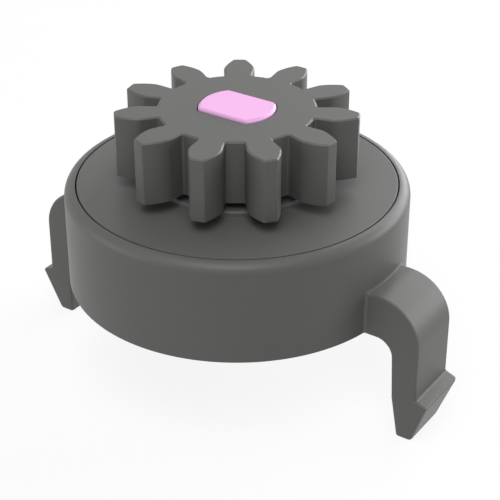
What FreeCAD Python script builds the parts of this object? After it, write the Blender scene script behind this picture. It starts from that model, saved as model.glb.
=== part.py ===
import FreeCAD, Part
import math
import os

import Sketcher

os.makedirs("parts", exist_ok=True)

# Rotary damper with a pinion, of the size that snaps into a panel. Millimetres.
# The origin is the centre of the housing's bottom face, which seats on the panel. +Z runs up the shaft
# to the gear, and the two snap legs lie along X.
doc = FreeCAD.newDocument("rotary_damper")
sheet = doc.addObject("Spreadsheet::Sheet", "sizes")

SIZES = [
    # housing
    ("housing_diameter", 15.0, "outside of the round housing"),
    ("housing_height", 4.6, "bottom face to the top of the rim"),
    ("floor_thickness", 1.2, "floor under the damping chamber"),
    ("rim_wall", 0.47, "thin rim round the cover"),
    ("ledge_width", 0.83, "ledge that carries the cover, between the rim and the damping chamber"),
    ("rim_land", 0.02, "flat left on the rim inside its rounded edge"),
    ("pivot_diameter", 1.8, "pin moulded on the floor, on which the rotor turns"),
    ("pivot_height", 1.2, "pin above the chamber's floor"),
    # snap legs
    ("leg_reach", 2.4, "from the housing's wall out to the outer face of a leg"),
    ("leg_width", 2.9, "across the legs, along Y"),
    ("leg_side_taper", 0.25, "how far each side of a leg draws in from its catch to its end"),
    ("leg_thickness", 1.28, "upright part of a leg, next to its inner radius"),
    ("leg_waist", 1.15, "the same at the height of the catch"),
    ("leg_tip_thickness", 0.72, "end of a leg"),
    ("leg_lead", 0.22, "how far the outer edge of a leg's end stands inside its outer face"),
    ("leg_length", 4.8, "from the housing's bottom face down to the end of a leg"),
    ("arm_height", 2.0, "arm that carries a leg, up the side of the housing"),
    ("arm_flat", 0.4, "level top of the arm, between the wall and the bend"),
    ("leg_inner_radius", 0.75, "inside of the bend"),
    ("arm_root_radius", 0.15, "hollow rounding where the arm meets the wall"),
    ("leg_end_bevel", 0.08, "bevel across a leg's end and along its catch"),
    ("panel_thickness", 2.4, "thickest panel that the catches hold"),
    ("panel_play", 0.1, "room between that panel and the catches"),
    ("catch_overhang", 0.55, "how far a catch stands out of its leg"),
    ("catch_slope", 0.2, "drop of the catch's upper face over its length"),
    # cover
    ("cover_thickness", 1.6, "cover let into the rim"),
    ("cover_gap", 0.07, "seam round the cover, on the radius"),
    ("collar_diameter", 7.0, "raised collar round the shaft"),
    ("collar_height", 0.23, "collar above the cover"),
    # rotor and seal
    ("shaft_diameter", 3.3, "shaft of the rotor"),
    ("shaft_clearance", 0.05, "running clearance of the shaft and the pivot, on the radius"),
    ("disc_edge_gap", 0.4, "fluid round the edge of the disc that shears it"),
    ("shear_gap", 0.3, "fluid above and below the disc"),
    ("hub_land", 0.61, "hub beyond the sealing ring's pocket, where it keeps the disc off the cover"),
    ("end_play", 0.05, "hub to the floor and to the cover"),
    ("pivot_end_gap", 0.1, "pivot pin to the end of its hole"),
    ("flats_width", 2.3, "across the two flats of the shaft's upper end"),
    ("shaft_proud", 0.1, "shaft above the gear"),
    ("shaft_bevel", 0.06, "bevel round the shaft's end"),
    ("ring_section", 0.86, "sealing ring's cord"),
    ("ring_clearance", 0.04, "sealing ring to its pocket and to the shaft"),
    ("ring_end_room", 0.06, "pocket in the cover's underside below the sealing ring"),
    ("fluid_clearance", 0.03, "damping fluid to the turning disc and to the chamber's wall"),
    # gear
    ("gear_module", 0.8, "module of the pinion"),
    ("gear_teeth", 11, "its number of teeth"),
    ("pressure_angle", 20.0, "degrees"),
    ("thickness_factor", 1.65, "tooth along the pitch circle, in modules"),
    ("addendum_factor", 1.0, "tooth above the pitch circle, in modules"),
    ("dedendum_factor", 1.25, "tooth below the pitch circle, in modules"),
    ("gear_width", 2.8, "face width"),
    ("gear_gap", 0.34, "gear above the collar"),
    ("bore_clearance", 0.04, "gear's bore round the shaft's flatted end"),
    ("tooth_root_radius", 0.12, "hollow rounding at the foot of a tooth"),
    ("tooth_bevel", 0.08, "bevel round the gear's upper face"),
]
for row, (alias, value, note) in enumerate(SIZES, start=1):
    sheet.set(f"A{row}", alias)
    sheet.set(f"B{row}", str(value))
    sheet.set(f"C{row}", note)
    sheet.setAlias(f"B{row}", alias)
doc.recompute()

# Heights and radii where pieces meet, written once from the sheet's values
housing_radius = "(sizes.housing_diameter / 2)"
seat_radius = "(sizes.housing_diameter / 2 - sizes.rim_wall)"
ledge = "(sizes.housing_height - sizes.cover_thickness)"
chamber_radius = f"({seat_radius} - sizes.ledge_width)"
pivot_top = "(sizes.floor_thickness + sizes.pivot_height)"
collar_top = "(sizes.housing_height + sizes.collar_height)"
shaft_radius = "(sizes.shaft_diameter / 2)"
ring_seat_radius = f"({shaft_radius} + sizes.ring_section + 2 * sizes.ring_clearance)"
ring_seat_top = f"({ledge} + sizes.ring_section + 2 * sizes.ring_clearance + sizes.ring_end_room)"
disc_bottom = "(sizes.floor_thickness + sizes.shear_gap)"
disc_top = f"({ledge} - sizes.shear_gap)"
disc_radius = f"({chamber_radius} - sizes.disc_edge_gap)"
hub_radius = f"({ring_seat_radius} + sizes.hub_land)"
gear_foot = f"({collar_top} + sizes.gear_gap)"
gear_top = f"({gear_foot} + sizes.gear_width)"
shaft_top = f"({gear_top} + sizes.shaft_proud)"


def size(expression):
    """The number that an expression of the sheet's values gives."""
    return float(sheet.evalExpression(expression))


def new_body(name):
    body = doc.addObject("PartDesign::Body", name)
    body.Label = name
    return body


def new_sketch(body, name, role, height=None):
    """A sketch on one of the body's origin planes, raised along the plane's normal where a height is given."""
    sketch = body.newObject("Sketcher::SketchObject", name)
    plane = next(item for item in body.Origin.OriginFeatures if item.Role == role)
    sketch.AttachmentSupport = (plane, "")
    sketch.MapMode = "FlatFace"
    if height:
        sketch.setExpression("AttachmentOffset.Base.z", height)
    return sketch


def hold(sketch, kind, line, corner, value):
    """Dimension from the origin to one end of a line, bound to the sheet."""
    index = sketch.addConstraint(Sketcher.Constraint(kind, -1, 1, line, corner, size(value)))
    sketch.setExpression(f"Constraints[{index}]", value)


def outline(sketch, corners):
    """A closed outline of straight lines, each corner held by two dimensions."""
    points = [FreeCAD.Vector(size(across), size(up), 0) for across, up in corners]
    lines = [sketch.addGeometry(Part.LineSegment(start, end))
             for start, end in zip(points, points[1:] + points[:1])]
    for line, following in zip(lines, lines[1:] + lines[:1]):
        sketch.addConstraint(Sketcher.Constraint("Coincident", line, 2, following, 1))
    for line, (across, up) in zip(lines, corners):
        hold(sketch, "DistanceX", line, 1, across)
        hold(sketch, "DistanceY", line, 1, up)


def double_d(sketch, radius, half_flats):
    """A round with two flats along X, held by its radius and by the flats' distance."""
    reach, flat = size(radius), size(half_flats)
    along = math.sqrt(reach ** 2 - flat ** 2)
    turn = math.asin(flat / reach)
    centre, up = FreeCAD.Vector(0, 0, 0), FreeCAD.Vector(0, 0, 1)
    circle = Part.Circle(centre, up, reach)
    right = sketch.addGeometry(Part.ArcOfCircle(circle, -turn, turn))
    left = sketch.addGeometry(Part.ArcOfCircle(circle, math.pi - turn, math.pi + turn))
    top = sketch.addGeometry(Part.LineSegment(FreeCAD.Vector(along, flat, 0), FreeCAD.Vector(-along, flat, 0)))
    low = sketch.addGeometry(Part.LineSegment(FreeCAD.Vector(-along, -flat, 0), FreeCAD.Vector(along, -flat, 0)))
    for arc in (right, left):
        sketch.addConstraint(Sketcher.Constraint("Coincident", arc, 3, -1, 1))
    for line, start, end in ((top, (right, 2), (left, 1)), (low, (left, 2), (right, 1))):
        sketch.addConstraint(Sketcher.Constraint("Coincident", line, 1, *start))
        sketch.addConstraint(Sketcher.Constraint("Coincident", line, 2, *end))
        sketch.addConstraint(Sketcher.Constraint("Horizontal", line))
    sketch.addConstraint(Sketcher.Constraint("Equal", right, left))
    round_size = sketch.addConstraint(Sketcher.Constraint("Radius", right, reach))
    sketch.setExpression(f"Constraints[{round_size}]", radius)
    hold(sketch, "DistanceY", top, 1, half_flats)
    hold(sketch, "DistanceY", low, 1, f"-{half_flats}")


def revolve(body, sketch, name):
    """Turns a sketch about the shaft's axis."""
    feature = body.newObject("PartDesign::Revolution", name)
    feature.Profile = sketch
    feature.ReferenceAxis = (sketch, ["V_Axis"])
    feature.Angle = 360
    doc.recompute()
    return feature


def pad(body, sketch, name, length, symmetric=False):
    feature = body.newObject("PartDesign::Pad", name)
    feature.Profile = sketch
    feature.setExpression("Length", length)
    feature.SideType = "Symmetric" if symmetric else "One side"
    doc.recompute()
    return feature


def pocket(body, sketch, name, reversed_cut=False, symmetric=False):
    """Cuts right through the body, and stops the build if nothing came off."""
    before = body.Shape.Volume
    feature = body.newObject("PartDesign::Pocket", name)
    feature.Profile = sketch
    feature.Type = "ThroughAll"
    feature.Reversed = reversed_cut
    feature.SideType = "Symmetric" if symmetric else "One side"
    doc.recompute()
    if not body.Shape.Volume < before:
        raise RuntimeError(f"{name} cuts nothing")
    return feature


def polar(body, original, name, count):
    """Repeats a feature round the shaft's axis."""
    pattern = body.newObject("PartDesign::PolarPattern", name)
    pattern.Originals = [original]
    pattern.Axis = (next(item for item in body.Origin.OriginFeatures if item.Role == "Z_Axis"), [""])
    pattern.Angle = 360
    if isinstance(count, str):
        pattern.setExpression("Occurrences", count)
    else:
        pattern.Occurrences = count
    body.Tip = pattern
    doc.recompute()
    return pattern


def dress_edges(body, kind, name, width, chosen):
    """Fillets or chamfers the edges of the body's last feature that the test chooses."""
    last = body.Tip
    names = [f"Edge{number}" for number, edge in enumerate(last.Shape.Edges, start=1) if chosen(edge)]
    if not names:
        raise RuntimeError(f"{name} finds no edge")
    feature = body.newObject(f"PartDesign::{kind}", name)
    feature.Base = (last, names)
    feature.setExpression("Radius" if kind == "Fillet" else "Size", width)
    doc.recompute()
    return feature


def near(value, expression):
    return abs(value - size(expression)) < 1e-4


def flat_at(edge, height):
    """True where the whole edge lies at one height."""
    return near(edge.BoundBox.ZMin, height) and near(edge.BoundBox.ZMax, height)


def radial(point):
    return math.hypot(point.x, point.y)


# Housing: a round cup with the rotor's pivot on its floor and a thin rim round the cover. The two snap
# legs are moulded with it.
def build_housing():
    body = new_body("housing")
    cup = new_sketch(body, "cup_section", "XZ_Plane")
    pivot_radius = "(sizes.pivot_diameter / 2)"
    outline(cup, [
        ("0", "0"),
        (housing_radius, "0"),
        (housing_radius, "sizes.housing_height"),
        (seat_radius, "sizes.housing_height"),
        (seat_radius, ledge),
        (chamber_radius, ledge),
        (chamber_radius, "sizes.floor_thickness"),
        (pivot_radius, "sizes.floor_thickness"),
        (pivot_radius, pivot_top),
        ("0", pivot_top),
    ])
    revolve(body, cup, "cup")

    # One leg with sharp bends, begun inside the wall that carries it
    face = f"({housing_radius} + sizes.leg_reach)"
    inside = f"(({housing_radius} + {chamber_radius}) / 2)"
    catch_root = "(-sizes.panel_thickness - sizes.panel_play)"
    catch_tip = f"({catch_root} - sizes.catch_slope)"
    side = new_sketch(body, "leg_section", "XZ_Plane")
    outline(side, [
        (inside, "0"),
        (f"({face} - sizes.leg_thickness)", "0"),
        (f"({face} - sizes.leg_waist)", catch_tip),
        (f"({face} - sizes.leg_lead - sizes.leg_tip_thickness)", "-sizes.leg_length"),
        (f"({face} - sizes.leg_lead)", "-sizes.leg_length"),
        (f"({face} + sizes.catch_overhang)", catch_tip),
        (face, catch_root),
        (face, "sizes.arm_height"),
        (inside, "sizes.arm_height"),
    ])
    leg = pad(body, side, "leg", "sizes.leg_width", symmetric=True)
    polar(body, leg, "legs", 2)

    # The legs narrow from the catches down to their tips
    half = "(sizes.leg_width / 2)"
    half_tip = f"({half} - sizes.leg_side_taper)"
    for name, sign in (("taper_right", ""), ("taper_left", "-")):
        taper = new_sketch(body, f"{name}_section", "YZ_Plane")
        outline(taper, [
            (f"{sign}{half}", catch_tip),
            (f"{sign}{half_tip}", "-sizes.leg_length"),
            (f"{sign}{half}", "-sizes.leg_length"),
        ])
        pocket(body, taper, name, symmetric=True)

    def across_legs(edge):
        return len(edge.Vertexes) == 2 and abs(edge.BoundBox.YLength - size("sizes.leg_width")) < 1e-4

    def corner(edge, reach, height):
        return across_legs(edge) and near(abs(edge.BoundBox.Center.x), reach) and flat_at(edge, height)

    def on_rim(edge):
        return flat_at(edge, "sizes.housing_height") and near(edge.BoundBox.XMax, housing_radius)

    dress_edges(body, "Fillet", "outer_bend", "sizes.leg_reach - sizes.arm_flat",
                lambda edge: corner(edge, face, "sizes.arm_height"))
    dress_edges(body, "Fillet", "inner_bend", "sizes.leg_inner_radius",
                lambda edge: corner(edge, f"({face} - sizes.leg_thickness)", "0"))
    dress_edges(body, "Fillet", "rim_edge", "sizes.rim_wall - sizes.rim_land", on_rim)

    def at_wall(edge):
        """The lines where an arm leaves the round wall."""
        box = edge.BoundBox
        return (all(abs(radial(vertex.Point) - size(housing_radius)) < 1e-3 for vertex in edge.Vertexes)
                and near(box.ZMax, "sizes.arm_height") and box.YLength < size("sizes.leg_width") + 1e-3)

    def across_end(edge):
        """The edges across a leg's end and along the catch."""
        box = edge.BoundBox
        reach = abs(box.Center.x)
        return (box.ZMax < size(catch_tip) + 1e-3 and box.ZLength < 1e-3
                and box.YLength > size(half_tip)
                and not near(reach, f"({face} - sizes.leg_waist)"))

    dress_edges(body, "Fillet", "arm_roots", "sizes.arm_root_radius", at_wall)
    dress_edges(body, "Chamfer", "leg_ends", "sizes.leg_end_bevel", across_end)
    return body


# Cover: a disc let into the rim and welded to the ledge, with a collar round the shaft and a pocket for the
# sealing ring in its underside
def build_cover():
    body = new_body("cover")
    section = new_sketch(body, "cover_section", "XZ_Plane")
    cover_radius = f"({seat_radius} - sizes.cover_gap)"
    collar_radius = "(sizes.collar_diameter / 2)"
    bore_radius = f"({shaft_radius} + sizes.shaft_clearance)"
    outline(section, [
        (ring_seat_radius, ledge),
        (cover_radius, ledge),
        (cover_radius, "sizes.housing_height"),
        (collar_radius, "sizes.housing_height"),
        (collar_radius, collar_top),
        (bore_radius, collar_top),
        (bore_radius, ring_seat_top),
        (ring_seat_radius, ring_seat_top),
    ])
    revolve(body, section, "disc")
    return body


# Rotor: the disc that turns in the fluid, with its hub and shaft. The shaft's upper end has two flats, and
# the shoulder under them carries the gear.
def build_rotor():
    body = new_body("rotor")
    section = new_sketch(body, "rotor_section", "XZ_Plane")
    hole_radius = "(sizes.pivot_diameter / 2 + sizes.shaft_clearance)"
    hole_top = f"({pivot_top} + sizes.pivot_end_gap)"
    hub_bottom = "(sizes.floor_thickness + sizes.end_play)"
    hub_top = f"({ledge} - sizes.end_play)"
    outline(section, [
        ("0", hole_top),
        (hole_radius, hole_top),
        (hole_radius, hub_bottom),
        (hub_radius, hub_bottom),
        (hub_radius, disc_bottom),
        (disc_radius, disc_bottom),
        (disc_radius, disc_top),
        (hub_radius, disc_top),
        (hub_radius, hub_top),
        (shaft_radius, hub_top),
        (shaft_radius, gear_foot),
        ("0", gear_foot),
    ])
    revolve(body, section, "disc_and_shaft")
    end = new_sketch(body, "flatted_end_section", "XY_Plane", gear_foot)
    double_d(end, shaft_radius, "(sizes.flats_width / 2)")
    pad(body, end, "flatted_end", f"{shaft_top} - {gear_foot}")
    dress_edges(body, "Chamfer", "end_edge", "sizes.shaft_bevel", lambda edge: flat_at(edge, shaft_top))
    return body


# Sealing ring: keeps the fluid in where the shaft leaves the cover
def build_o_ring():
    ring = doc.addObject("Part::Torus", "o_ring")
    ring.Label = "o_ring"
    ring.setExpression("Radius1", f"{shaft_radius} + sizes.ring_clearance + sizes.ring_section / 2")
    ring.setExpression("Radius2", "sizes.ring_section / 2")
    ring.setExpression("Placement.Base.z", f"{ring_seat_top} - sizes.ring_clearance - sizes.ring_section / 2")
    return ring


# Damping fluid: a stiff silicone grease that fills the chamber round the disc
def build_grease():
    body = new_body("silicone_grease")
    section = new_sketch(body, "grease_section", "XZ_Plane")
    inner = f"({hub_radius} + sizes.fluid_clearance)"
    wall = f"({chamber_radius} - sizes.fluid_clearance)"
    round_disc = f"({disc_radius} + sizes.fluid_clearance)"
    above = f"({disc_top} + sizes.fluid_clearance)"
    below = f"({disc_bottom} - sizes.fluid_clearance)"
    outline(section, [
        (inner, "sizes.floor_thickness"),
        (wall, "sizes.floor_thickness"),
        (wall, ledge),
        (inner, ledge),
        (inner, above),
        (round_disc, above),
        (round_disc, below),
        (inner, below),
    ])
    revolve(body, section, "fill")
    return body


def involute(angle):
    """Involute function of a pressure angle in radians."""
    return math.tan(angle) - angle


def tooth_outline(sketch, root_radius, pitch_radius, tip_radius):
    """One tooth standing along +Y: two involute flanks, radial feet below the base circle and a round tip."""
    angle = math.radians(size("sizes.pressure_angle"))
    base_radius = pitch_radius * math.cos(angle)
    half_base = size("sizes.thickness_factor * sizes.gear_module") / (2 * pitch_radius) + involute(angle)
    start_radius = max(base_radius, root_radius)
    steps = 5

    def point(radius, turn):
        return FreeCAD.Vector(radius * math.sin(turn), radius * math.cos(turn), 0)

    def flank_turn(radius):
        return half_base - involute(math.acos(min(1.0, base_radius / radius)))

    # Closer points near the base circle, where the involute bends most
    radii = [start_radius + (tip_radius - start_radius) * (step / steps) ** 2 for step in range(steps + 1)]
    inside = root_radius - size("sizes.tooth_root_radius")
    for sign in (1, -1):
        flank = Part.BSplineCurve()
        flank.interpolate([point(radius, sign * flank_turn(radius)) for radius in radii])
        sketch.addGeometry(flank)
        foot = point(start_radius, sign * flank_turn(start_radius))
        sketch.addGeometry(Part.LineSegment(point(inside, sign * flank_turn(start_radius)), foot))
    tip_turn = flank_turn(tip_radius)
    tip = Part.Arc(point(tip_radius, tip_turn), point(tip_radius, 0), point(tip_radius, -tip_turn))
    sketch.addGeometry(tip)
    foot_turn = flank_turn(start_radius)
    sketch.addGeometry(Part.LineSegment(point(inside, -foot_turn), point(inside, foot_turn)))


# Gear: a moulded involute pinion pressed on the shaft's flats. One tooth stands square to them.
def build_gear():
    body = new_body("drive_gear")
    root = "(sizes.gear_module * (sizes.gear_teeth / 2 - sizes.dedendum_factor))"
    pitch = "(sizes.gear_module * sizes.gear_teeth / 2)"
    tip = "(sizes.gear_module * (sizes.gear_teeth / 2 + sizes.addendum_factor))"
    core = new_sketch(body, "core_section", "XY_Plane", gear_foot)
    circle = core.addGeometry(Part.Circle(FreeCAD.Vector(0, 0, 0), FreeCAD.Vector(0, 0, 1), size(root)))
    core.addConstraint(Sketcher.Constraint("Coincident", circle, 3, -1, 1))
    root_size = core.addConstraint(Sketcher.Constraint("Radius", circle, size(root)))
    core.setExpression(f"Constraints[{root_size}]", root)
    pad(body, core, "core", "sizes.gear_width")

    tooth = new_sketch(body, "tooth_section", "XY_Plane", gear_foot)
    tooth_outline(tooth, size(root), size(pitch), size(tip))
    first = pad(body, tooth, "tooth", "sizes.gear_width")
    polar(body, first, "teeth", "sizes.gear_teeth")

    bore = new_sketch(body, "bore_section", "XY_Plane", gear_foot)
    double_d(bore, f"({shaft_radius} + sizes.bore_clearance)",
             "(sizes.flats_width / 2 + sizes.bore_clearance)")
    pocket(body, bore, "bore", reversed_cut=True)

    def at_root(edge):
        return (edge.BoundBox.ZLength > size("sizes.gear_width") - 1e-4
                and abs(radial(edge.Vertexes[0].Point) - size(root)) < 1e-3)

    def on_upper_outline(edge):
        return radial(edge.Vertexes[0].Point) > size(root) - 1e-3 and flat_at(edge, gear_top)

    dress_edges(body, "Fillet", "tooth_roots", "sizes.tooth_root_radius", at_root)
    dress_edges(body, "Chamfer", "tooth_edges", "sizes.tooth_bevel", on_upper_outline)
    return body


PIECES = [build_housing(), build_cover(), build_rotor(), build_o_ring(), build_grease(), build_gear()]
doc.recompute()

for item in doc.Objects:
    if "Invalid" in item.State or "Error" in item.State:
        raise RuntimeError(f"{item.Name} failed: {item.State}")
for piece in PIECES:
    if piece.Shape.isNull() or not piece.Shape.isValid() or len(piece.Shape.Solids) != 1:
        raise RuntimeError(f"{piece.Label} is not one valid solid")
for piece in PIECES:
    piece.Shape.exportStep(f"parts/{piece.Label}.step")
    box = piece.Shape.BoundBox
    print(f"{piece.Label}: {piece.Shape.Volume:.2f} mm3, z {box.ZMin:.2f} to {box.ZMax:.2f}")
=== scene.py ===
import math

import bmesh
import bpy
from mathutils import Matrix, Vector


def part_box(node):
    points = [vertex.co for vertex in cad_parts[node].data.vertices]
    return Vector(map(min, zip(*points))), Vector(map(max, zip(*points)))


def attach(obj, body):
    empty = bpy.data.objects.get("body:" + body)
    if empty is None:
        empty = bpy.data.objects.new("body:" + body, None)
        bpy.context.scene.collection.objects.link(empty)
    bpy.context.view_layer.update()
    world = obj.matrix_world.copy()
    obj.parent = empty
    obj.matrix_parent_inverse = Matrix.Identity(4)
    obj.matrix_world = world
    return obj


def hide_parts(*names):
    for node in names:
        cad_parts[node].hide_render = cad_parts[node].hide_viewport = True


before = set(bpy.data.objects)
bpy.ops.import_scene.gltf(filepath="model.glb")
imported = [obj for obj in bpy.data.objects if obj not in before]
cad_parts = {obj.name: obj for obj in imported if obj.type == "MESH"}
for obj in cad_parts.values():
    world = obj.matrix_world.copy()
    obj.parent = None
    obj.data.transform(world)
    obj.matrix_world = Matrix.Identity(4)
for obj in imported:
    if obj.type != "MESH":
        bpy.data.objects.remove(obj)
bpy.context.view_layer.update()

# Housing: a round cup with two snap legs, all one injection moulding in dark grey plastic. The thin rim at
# its top takes the cover, the pin on its floor carries the rotor, and the legs clip into a panel.
MM = 0.001
ROUND_SIDES = 144

housing_low, housing_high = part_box("housing")
wall_radius = housing_high.y / MM
rim_top = housing_high.z / MM
leg_end = housing_low.z / MM
rim_wall = 0.485
rim_rounding = 0.45
cover_thickness = 1.6
ledge_width = 0.83
floor_thickness = 1.2
pivot_radius = 0.9
pivot_height = 1.2
leg_face = 9.9
leg_width = 2.9
leg_tip_width = 2.4
leg_thickness = 1.28
leg_waist = 1.15
leg_tip_thickness = 0.72
leg_lead = 0.22
arm_height = 2.0
outer_bend_radius = 2.0
inner_bend_radius = 0.75
catch_root = -2.5
catch_tip = -2.7
catch_overhang = 0.55
moulded_edge = 0.12


def lay_down():
    """Leaves edit mode, with nothing selected."""
    if bpy.context.mode != "OBJECT":
        bpy.ops.object.mode_set(mode="OBJECT")
    bpy.ops.object.select_all(action="DESELECT")


def add_disc(name, radius, low, high):
    """A round blank between two heights, in millimetres."""
    lay_down()
    bpy.ops.mesh.primitive_cylinder_add(vertices=ROUND_SIDES, radius=radius, depth=high - low,
                                        location=(0, 0, (low + high) / 2))
    piece = bpy.context.object
    piece.name = name
    bpy.ops.object.transform_apply(location=True, rotation=True, scale=True)
    return piece


def pick(piece, kind, wanted):
    """Selects, in edit mode, the verts, edges or faces that the test wants."""
    bpy.context.view_layer.objects.active = piece
    bpy.ops.object.mode_set(mode="EDIT")
    bpy.ops.mesh.select_mode(type={"verts": "VERT", "edges": "EDGE", "faces": "FACE"}[kind])
    bpy.ops.mesh.select_all(action="DESELECT")
    mesh = bmesh.from_edit_mesh(piece.data)
    mesh.normal_update()
    chosen = [element for element in getattr(mesh, kind) if wanted(element)]
    if not chosen:
        raise RuntimeError(f"nothing is picked on {piece.name}")
    for element in chosen:
        element.select_set(True)
    bmesh.update_edit_mesh(piece.data)


def step_in(width, rise):
    """Insets the selected face and moves it along the shaft."""
    bpy.ops.mesh.inset(thickness=width)
    bpy.ops.mesh.extrude_region_move(TRANSFORM_OT_translate={"value": (0, 0, rise)})


def round_off(piece, width, steps, wanted):
    """Rounds the edges that the test wants. A single step leaves a flat bevel."""
    pick(piece, "edges", wanted)
    bpy.ops.mesh.bevel(offset=width, segments=steps, profile=0.5, affect="EDGES")


def trace(name, points):
    """Draws an outline by extruding one vertex from point to point."""
    lay_down()
    bpy.ops.mesh.primitive_plane_add(size=1)
    piece = bpy.context.object
    piece.name = name
    bpy.ops.object.mode_set(mode="EDIT")
    bpy.ops.mesh.select_mode(type="VERT")
    bpy.ops.mesh.select_all(action="SELECT")
    bpy.ops.mesh.merge(type="CENTER")
    bpy.ops.transform.translate(value=points[0])
    for start, end in zip(points, points[1:]):
        bpy.ops.mesh.extrude_vertices_move(TRANSFORM_OT_translate={"value": end - start})
    bpy.ops.mesh.select_all(action="SELECT")
    return piece


def combine(piece, other, operation):
    """Joins the other solid to the piece, or cuts it out of the piece."""
    lay_down()
    bpy.context.view_layer.objects.active = piece
    bpy.ops.object.modifier_add(type="BOOLEAN")
    boolean = piece.modifiers[-1]
    boolean.operation = operation
    boolean.solver = "EXACT"
    boolean.object = other
    bpy.ops.object.modifier_apply(modifier=boolean.name)
    bpy.data.objects.remove(other)


touching = 0.001


def close_up(piece):
    """Merges the points that lie on one another."""
    bpy.context.view_layer.objects.active = piece
    bpy.ops.object.mode_set(mode="EDIT")
    bpy.ops.mesh.select_all(action="SELECT")
    bpy.ops.mesh.remove_doubles(threshold=touching)


shading_angle = math.radians(40)


def smooth_out(piece):
    """Shades the piece smooth with its flat faces kept flat, and brings it from millimetres to metres."""
    close_up(piece)
    lay_down()
    piece.select_set(True)
    bpy.ops.object.shade_smooth_by_angle(angle=shading_angle)
    bpy.ops.object.modifier_add(type="WEIGHTED_NORMAL")
    piece.modifiers[-1].keep_sharp = True
    bpy.ops.object.modifier_apply(modifier=piece.modifiers[-1].name)
    piece.scale = (MM, MM, MM)
    bpy.ops.object.transform_apply(location=True, rotation=True, scale=True)


def radial(vert):
    return math.hypot(vert.co.x, vert.co.y)


def at_height(element, height):
    return all(abs(vert.co.z - height) < touching for vert in element.verts)


def at_radius(element, radius, slack=0.01):
    return all(abs(radial(vert) - radius) < slack for vert in element.verts)


def faces_up(face):
    return face.normal.z > 0.9


def faces_down(face):
    return face.normal.z < -0.9


housing = add_disc("housing_moulding", wall_radius, 0, rim_top)
pick(housing, "faces", faces_up)
step_in(rim_wall, -cover_thickness)
step_in(ledge_width, floor_thickness + cover_thickness - rim_top)
step_in(wall_radius - rim_wall - ledge_width - pivot_radius, pivot_height)
round_off(housing, rim_rounding, 8, lambda edge: at_height(edge, rim_top) and at_radius(edge, wall_radius))

# One leg is drawn from the side, begun inside the wall, and given its width
leg_corners = [
    (wall_radius - ledge_width, 0),
    (leg_face - leg_thickness, 0),
    (leg_face - leg_waist, catch_tip),
    (leg_face - leg_lead - leg_tip_thickness, leg_end),
    (leg_face - leg_lead, leg_end),
    (leg_face + catch_overhang, catch_tip),
    (leg_face, catch_root),
    (leg_face, arm_height),
    (wall_radius - ledge_width, arm_height),
]
legs = trace("legs", [Vector((x, -leg_width / 2, z)) for x, z in leg_corners])
bpy.ops.mesh.edge_face_add()
bpy.ops.mesh.extrude_region_move(TRANSFORM_OT_translate={"value": (0, leg_width, 0)})
bpy.ops.mesh.select_all(action="SELECT")
bpy.ops.mesh.normals_make_consistent(inside=False)


def across_leg(edge, x, z):
    """The edge across the leg's width through one corner of its outline."""
    return at_height(edge, z) and all(abs(vert.co.x - x) < touching for vert in edge.verts)


round_off(legs, outer_bend_radius, 18, lambda edge: across_leg(edge, leg_face, arm_height))
inner_slope = math.atan2(leg_thickness - leg_waist, -catch_tip)
inner_bend_width = inner_bend_radius * math.tan(math.radians(45) - inner_slope / 2)
round_off(legs, inner_bend_width, 10, lambda edge: across_leg(edge, leg_face - leg_thickness, 0))
# The leg narrows from its catch down to its end
bpy.ops.mesh.select_all(action="SELECT")
bpy.ops.mesh.bisect(plane_co=(0, 0, catch_tip), plane_no=(0, 0, 1))
pick(legs, "verts", lambda vert: vert.co.z < leg_end + touching)
bpy.ops.transform.resize(value=(1, leg_tip_width / leg_width, 1), center_override=(0, 0, 0))
# The second leg is the first one turned half round
bpy.ops.mesh.select_all(action="SELECT")
bpy.ops.mesh.duplicate()
bpy.ops.transform.rotate(value=math.pi, orient_axis="Z", center_override=(0, 0, 0))
combine(housing, legs, "UNION")
# The flat bottom becomes one face again
pick(housing, "faces", lambda face: at_height(face, 0) and faces_down(face))
bpy.ops.mesh.dissolve_limited(angle_limit=math.radians(0.1))

sharp_turn = math.radians(20)
wall_slack = 0.02


def is_sharp(edge):
    return len(edge.link_faces) == 2 and edge.calc_face_angle() > sharp_turn


def moulded_corner(edge):
    """The legs' edges, the lines where they leave the wall, and the wall's lower edge."""
    outside = all(radial(vert) > wall_radius - wall_slack for vert in edge.verts)
    below = all(vert.co.z < arm_height + touching for vert in edge.verts)
    return outside and below and is_sharp(edge)


round_off(housing, moulded_edge, 2, moulded_corner)
smooth_out(housing)

plastic_specular = 0.3
drift_scale = 0.35
tone_drift = 0.04
gloss_drift = 0.04
grain_strength = 0.5


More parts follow.
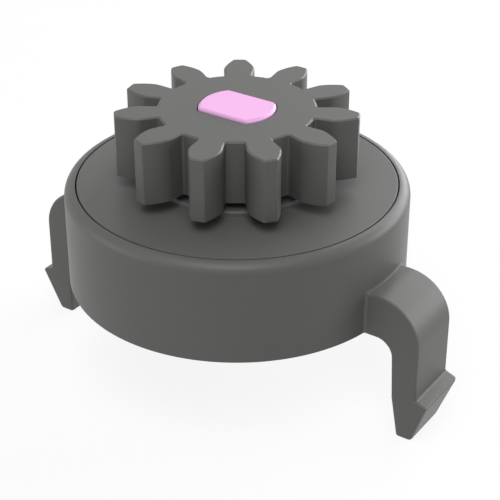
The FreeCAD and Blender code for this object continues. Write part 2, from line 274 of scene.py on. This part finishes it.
def moulded_plastic(name, colour, roughness, grain_size=0.05, grain_depth=0.001):
    """Satin plastic as it leaves the mould: a fine even grain, and a faint drift in tone and in gloss."""
    material = bpy.data.materials.new(name)
    material.use_nodes = True
    nodes = material.node_tree.nodes
    links = material.node_tree.links
    shader = nodes["Principled BSDF"]
    shader.inputs["Specular IOR Level"].default_value = plastic_specular
    place = nodes.new("ShaderNodeTexCoord")
    drift = nodes.new("ShaderNodeTexNoise")
    drift.inputs["Scale"].default_value = drift_scale / MM
    drift.inputs["Detail"].default_value = 3
    links.new(place.outputs["Object"], drift.inputs["Vector"])
    tone = nodes.new("ShaderNodeMix")
    tone.data_type = "RGBA"
    tone.inputs["A"].default_value = (*[(1 - tone_drift) * value for value in colour], 1)
    tone.inputs["B"].default_value = (*[(1 + tone_drift) * value for value in colour], 1)
    links.new(drift.outputs["Fac"], tone.inputs["Factor"])
    links.new(tone.outputs["Result"], shader.inputs["Base Color"])
    gloss = nodes.new("ShaderNodeMapRange")
    gloss.inputs["To Min"].default_value = roughness - gloss_drift
    gloss.inputs["To Max"].default_value = roughness + gloss_drift
    links.new(drift.outputs["Fac"], gloss.inputs["Value"])
    links.new(gloss.outputs["Result"], shader.inputs["Roughness"])
    grain = nodes.new("ShaderNodeTexNoise")
    grain.inputs["Scale"].default_value = 1 / (grain_size * MM)
    grain.inputs["Detail"].default_value = 2
    links.new(place.outputs["Object"], grain.inputs["Vector"])
    bump = nodes.new("ShaderNodeBump")
    bump.inputs["Strength"].default_value = grain_strength
    bump.inputs["Distance"].default_value = grain_depth * MM
    links.new(grain.outputs["Fac"], bump.inputs["Height"])
    links.new(bump.outputs["Normal"], shader.inputs["Normal"])
    return material


dark_grey = (0.107, 0.107, 0.104)
housing.data.materials.append(moulded_plastic("housing_satin", dark_grey, roughness=0.43))
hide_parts("housing")
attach(housing, "housing")

# Cover: a disc moulded in the same plastic and let into the rim, where it is welded to the ledge. A low
# collar stands round the shaft, and a pocket in the underside holds the sealing ring.
cover_low, cover_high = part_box("cover")
cover_radius = cover_high.x / MM
cover_bottom = cover_low.z / MM
collar_radius = 3.5
collar_top = cover_high.z / MM
bore_radius = 1.7
ring_pocket_radius = 2.59
ring_pocket_depth = 1.0
cover_edge = 0.04
# How far in from the cover's edge the painted seam shade reaches
seam_shade_reach = 0.6 * cover_edge
collar_edge = 0.09

cover = add_disc("cover_disc", cover_radius, cover_bottom, rim_top)
pick(cover, "faces", faces_up)
step_in(cover_radius - collar_radius, collar_top - rim_top)
bpy.ops.mesh.inset(thickness=collar_radius - bore_radius)
pick(cover, "faces", faces_down)
step_in(cover_radius - ring_pocket_radius, ring_pocket_depth)
bpy.ops.mesh.inset(thickness=ring_pocket_radius - bore_radius)
pick(cover, "faces", lambda face: at_radius(face, bore_radius) and (faces_up(face) or faces_down(face)))
bpy.ops.mesh.bridge_edge_loops()


def on_ring(edge, radius, height):
    """A part of the cover's round edge at one radius and height."""
    return at_height(edge, height) and at_radius(edge, radius)


round_off(cover, cover_edge, 3, lambda edge: on_ring(edge, cover_radius, rim_top))
round_off(cover, collar_edge, 3, lambda edge: on_ring(edge, collar_radius, collar_top))
# Painted light: the cover is the housing's plastic, given a lighter grey so that it reads brighter round
# the gear, where the gear's shadow falls
cover_grey_with_painted_light = (0.115, 0.115, 0.112)
cover.data.materials.append(moulded_plastic("cover_satin", cover_grey_with_painted_light, roughness=0.44))

# Painted shade: a fine dark line is painted into the seam between the cover and the rim, and runs up the
# cover's side and over the foot of its rounded edge
seam_shade_colour = (0.03, 0.03, 0.03)
cover.data.materials.append(moulded_plastic("seam_painted_shade", seam_shade_colour, roughness=0.6))
pick(cover, "faces", lambda face: at_radius(face, cover_radius, seam_shade_reach))
cover.active_material_index = 1
bpy.ops.object.material_slot_assign()
smooth_out(cover)
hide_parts("cover")
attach(cover, "housing")

# Rotor: the disc that turns in the grease, with its hub and shaft, one moulding in pale pink plastic. Its
# hub turns on the housing's pin, and the flatted end of the shaft carries the gear.
rotor_low, rotor_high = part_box("rotor")
gear_low, gear_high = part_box("drive_gear")
disc_radius = rotor_high.x / MM
hub_bottom = rotor_low.z / MM
shaft_top = rotor_high.z / MM
gear_foot = gear_low.z / MM
gear_top = gear_high.z / MM
disc_bottom = 1.5
disc_top = 2.7
hub_radius = 3.2
hub_top = 2.95
pin_hole_radius = 0.95
pin_hole_depth = 1.25
shaft_radius = 1.65
half_flats = 1.15
shaft_bevel = 0.1

rotor = add_disc("rotor_moulding", disc_radius, disc_bottom, disc_top)
pick(rotor, "faces", faces_up)
step_in(disc_radius - hub_radius, hub_top - disc_top)
step_in(hub_radius - shaft_radius, gear_foot - hub_top)
bpy.ops.mesh.extrude_region_move(TRANSFORM_OT_translate={"value": (0, 0, shaft_top - gear_foot)})
pick(rotor, "faces", faces_down)
step_in(disc_radius - hub_radius, hub_bottom - disc_bottom)
step_in(hub_radius - pin_hole_radius, pin_hole_depth)


def flat_cutter(side, reach):
    """A block that takes away what stands out past one flat of the shaft's end."""
    lay_down()
    middle = (0, side * (half_flats + reach / 2), gear_foot + reach / 2)
    bpy.ops.mesh.primitive_cube_add(size=1, location=middle, scale=(reach, reach, reach))
    return bpy.context.object


for side in (-1, 1):
    combine(rotor, flat_cutter(side, 2 * (shaft_top - gear_foot)), "DIFFERENCE")
close_up(rotor)


def is_upright(edge):
    """An edge that rises more than a millimetre along the shaft."""
    return abs(edge.verts[0].co.z - edge.verts[1].co.z) > 1


def shaft_corner(edge):
    """The outline of the shaft's end and the four upright corners of its flats."""
    above = all(vert.co.z > gear_foot + touching for vert in edge.verts)
    outside = all(radial(vert) > pin_hole_radius + wall_slack for vert in edge.verts)
    return is_sharp(edge) and (above or (is_upright(edge) and outside))


round_off(rotor, shaft_bevel, 1, shaft_corner)
smooth_out(rotor)
pale_pink = (0.92, 0.49, 0.855)
rotor.data.materials.append(moulded_plastic("rotor_satin", pale_pink, roughness=0.45, grain_depth=0.0008))
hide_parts("rotor")
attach(rotor, "rotor")

# Drive gear: a moulded pinion of module 0.8 with 11 involute teeth, pressed on the shaft's flats. Its tooth
# tips, tooth feet and both faces have the small roundings and bevels that the mould gives them.
module = 0.8
teeth = 11
pressure_angle = math.radians(20)
pitch_radius = module * teeth / 2
base_radius = pitch_radius * math.cos(pressure_angle)
root_radius = pitch_radius - 1.25 * module
tip_radius = pitch_radius + module
tooth_thickness = 1.65 * module
bore_clearance = 0.04
root_rounding = 0.1
tip_rounding = 0.04
top_bevel = 0.06
foot_rounding = 0.03
bore_rounding = 0.05


def involute(angle):
    return math.tan(angle) - angle


half_foot = tooth_thickness / (2 * pitch_radius) + involute(pressure_angle)


def flank_turn(radius):
    """How far a flank stands to the side of the tooth's middle, as an angle at the shaft."""
    return half_foot - involute(math.acos(min(1, base_radius / radius)))


def around(radius, turn):
    """A point of the gear's lower face, at an angle from the middle of the tooth."""
    return Vector((radius * math.sin(turn), radius * math.cos(turn), gear_foot))


# The flank's points crowd together towards the base circle, where the involute bends most
flank_steps = 7
crowding = 1.5
shares = [(step / flank_steps) ** crowding for step in range(flank_steps + 1)]
radii = [base_radius + (tip_radius - base_radius) * share for share in shares]
half_pitch = math.pi / teeth
one_side = [around(root_radius, -half_pitch), around(root_radius, -(half_pitch + half_foot) / 2),
            around(root_radius, -half_foot)]
one_side += [around(radius, -flank_turn(radius)) for radius in radii]
tooth = one_side + [around(tip_radius, 0)]
tooth += [Vector((-point.x, point.y, point.z)) for point in reversed(one_side)]
gear = trace("pinion", tooth)
bpy.ops.mesh.spin(steps=teeth, dupli=True, angle=2 * math.pi, center=(0, 0, 0), axis=(0, 0, 1))
close_up(gear)
bpy.ops.mesh.edge_face_add()
bpy.ops.mesh.extrude_region_move(TRANSFORM_OT_translate={"value": (0, 0, gear_top - gear_foot)})
bpy.ops.mesh.select_all(action="SELECT")
bpy.ops.mesh.normals_make_consistent(inside=False)


def upright_corner(edge, low, high):
    """An upright line of the gear where its outline turns sharply, between two radii."""
    there = all(low < radial(vert) < high for vert in edge.verts)
    return is_upright(edge) and there and is_sharp(edge)


round_off(gear, root_rounding, 5, lambda edge: upright_corner(edge, 0, base_radius))
round_off(gear, tip_rounding, 4, lambda edge: upright_corner(edge, pitch_radius, 2 * pitch_radius))

# The bore has the shape of the shaft's flatted end, with a little room round it
bore = add_disc("bore", shaft_radius + bore_clearance, gear_foot - 1, gear_top + 1)
for side in (-1, 1):
    flat = (0, side * (half_flats + bore_clearance), 0)
    bpy.ops.object.mode_set(mode="EDIT")
    bpy.ops.mesh.select_all(action="SELECT")
    bpy.ops.mesh.bisect(plane_co=flat, plane_no=(0, side, 0), use_fill=True, clear_outer=True)
    bpy.ops.object.mode_set(mode="OBJECT")
combine(gear, bore, "DIFFERENCE")


root_slack = 0.01


def gear_rim(edge, height, outside):
    """The outline of the gear, or of its bore, in its upper or lower face."""
    there = all((radial(vert) > root_radius - root_slack) == outside for vert in edge.verts)
    return at_height(edge, height) and there and is_sharp(edge)


round_off(gear, top_bevel, 1, lambda edge: gear_rim(edge, gear_top, True))
round_off(gear, foot_rounding, 2, lambda edge: gear_rim(edge, gear_foot, True))
round_off(gear, bore_rounding, 2, lambda edge: gear_rim(edge, gear_top, False))
smooth_out(gear)
gear.data.materials.append(moulded_plastic("gear_satin", dark_grey, roughness=0.44))
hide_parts("drive_gear")
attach(gear, "rotor")

# Sealing ring and damping grease: a black rubber ring in the cover's pocket, and the stiff clear silicone
# that fills the chamber round the disc. Both are shut in, and keep the frame's own solids.


def put_on(node, material):
    """Gives one of the frame's solids its material."""
    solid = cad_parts[node]
    solid.data.materials.clear()
    solid.data.materials.append(material)


rubber_black = (0.02, 0.02, 0.02)
grease_pale = (0.82, 0.82, 0.78)
rubber = moulded_plastic("ring_rubber", rubber_black, roughness=0.62, grain_size=0.08, grain_depth=0.002)
grease = moulded_plastic("clear_grease", grease_pale, roughness=0.12, grain_size=0.6, grain_depth=0.004)
put_on("o_ring", rubber)
put_on("silicone_grease", grease)

# Studio: a pale paper floor under the legs' ends in a white surround, lit by soft lamps. The camera sees
# the paper as white with a faint shadow, and reflections see the same.
floor_width = 0.8
paper_grey = 0.66
paper_glow = 0.85
surround_light = 0.18
lamp_distance = 0.2
lamp_width = 0.12


def seen_white(tree, dim, bright):
    """Gives the output the dim shader, and the bright one where the camera or a reflection looks at it."""
    path = tree.nodes.new("ShaderNodeLightPath")
    looks = path.outputs["Is Camera Ray"]
    for name in ("Is Glossy Ray", "Is Transmission Ray"):
        either = tree.nodes.new("ShaderNodeMath")
        either.operation = "MAXIMUM"
        tree.links.new(looks, either.inputs[0])
        tree.links.new(path.outputs[name], either.inputs[1])
        looks = either.outputs["Value"]
    choice = tree.nodes.new("ShaderNodeMixShader")
    tree.links.new(looks, choice.inputs["Fac"])
    tree.links.new(dim.outputs[0], choice.inputs[1])
    tree.links.new(bright.outputs[0], choice.inputs[2])
    output = next(node for node in tree.nodes if node.type.startswith("OUTPUT"))
    tree.links.new(choice.outputs["Shader"], output.inputs["Surface"])


lay_down()
bpy.ops.mesh.primitive_plane_add(size=floor_width, location=(0, 0, housing_low.z))
floor = bpy.context.object
floor.name = "studio_floor"
paper = bpy.data.materials.new("pale_paper")
paper.use_nodes = True
floor.data.materials.append(paper)
sheets = paper.node_tree
matt_paper = sheets.nodes["Principled BSDF"]
matt_paper.inputs["Base Color"].default_value = (paper_grey, paper_grey, paper_grey, 1)
matt_paper.inputs["Roughness"].default_value = 0.9
matt_paper.inputs["Specular IOR Level"].default_value = 0
shaded = sheets.nodes.new("ShaderNodeBsdfDiffuse")
shaded.inputs["Color"].default_value = (1, 1, 1, 1)
white = sheets.nodes.new("ShaderNodeEmission")
white_paper = sheets.nodes.new("ShaderNodeMixShader")
white_paper.inputs["Fac"].default_value = paper_glow
sheets.links.new(shaded.outputs["BSDF"], white_paper.inputs[1])
sheets.links.new(white.outputs["Emission"], white_paper.inputs[2])
seen_white(sheets, matt_paper, white_paper)

world = bpy.data.worlds.new("soft_surround")
bpy.context.scene.world = world
world.use_nodes = True
surround = world.node_tree.nodes["Background"]
surround.inputs["Color"].default_value = (1, 1, 1, 1)
surround.inputs["Strength"].default_value = surround_light
white_surround = world.node_tree.nodes.new("ShaderNodeBackground")
white_surround.inputs["Color"].default_value = (1, 1, 1, 1)
white_surround.inputs["Strength"].default_value = 1
seen_white(world.node_tree, surround, white_surround)


def soft_lamp(name, azimuth, elevation, power):
    """A square soft lamp aimed at the origin. Azimuth 0 is in front, and 90 is to the right."""
    turn = math.radians(azimuth)
    lift = math.radians(elevation)
    towards = Vector((math.sin(turn) * math.cos(lift), -math.cos(turn) * math.cos(lift), math.sin(lift)))
    lamp = bpy.data.objects.new(name, bpy.data.lights.new(name, "AREA"))
    bpy.context.scene.collection.objects.link(lamp)
    lamp.data.size = lamp_width
    lamp.data.energy = power
    lamp.location = towards * lamp_distance
    lamp.rotation_mode = "QUATERNION"
    lamp.rotation_quaternion = towards.to_track_quat("Z", "Y")


soft_lamp("back_lamp", 180, 20, power=0.245)
soft_lamp("right_back_lamp", 145, 14, power=0.225)
soft_lamp("high_lamp", 0, 72, power=0.07)
soft_lamp("front_lamp", 30, 55, power=0.18)
soft_lamp("left_lamp", -47, 9, power=0.115)

# Camera: it stands at the photograph's angle, close enough to give the object the same slight perspective,
# and aims a little to the right of the middle of the housing's bottom face and above it.
camera_azimuth = math.radians(34.19)
camera_elevation = math.radians(30.85)
camera_distance = 65.85 * MM
aim_right = 0.55 * MM
aim_up = 0.855 * MM
back = Vector((math.sin(camera_azimuth) * math.cos(camera_elevation),
               -math.cos(camera_azimuth) * math.cos(camera_elevation),
               math.sin(camera_elevation)))
right = Vector((math.cos(camera_azimuth), math.sin(camera_azimuth), 0))
up = back.cross(right)
aim = aim_right * right + aim_up * up
camera = bpy.data.objects.new("camera", bpy.data.cameras.new("camera"))
bpy.context.scene.collection.objects.link(camera)
camera.location = back * camera_distance
camera.rotation_mode = "QUATERNION"
camera.rotation_quaternion = (camera.location - aim).to_track_quat("Z", "Y")
camera.data.sensor_width = 36
camera.data.lens = 105.5
camera.data.clip_start = MM
camera.data.clip_end = 2
bpy.context.scene.camera = camera
bpy.context.scene.view_settings.view_transform = "Standard"
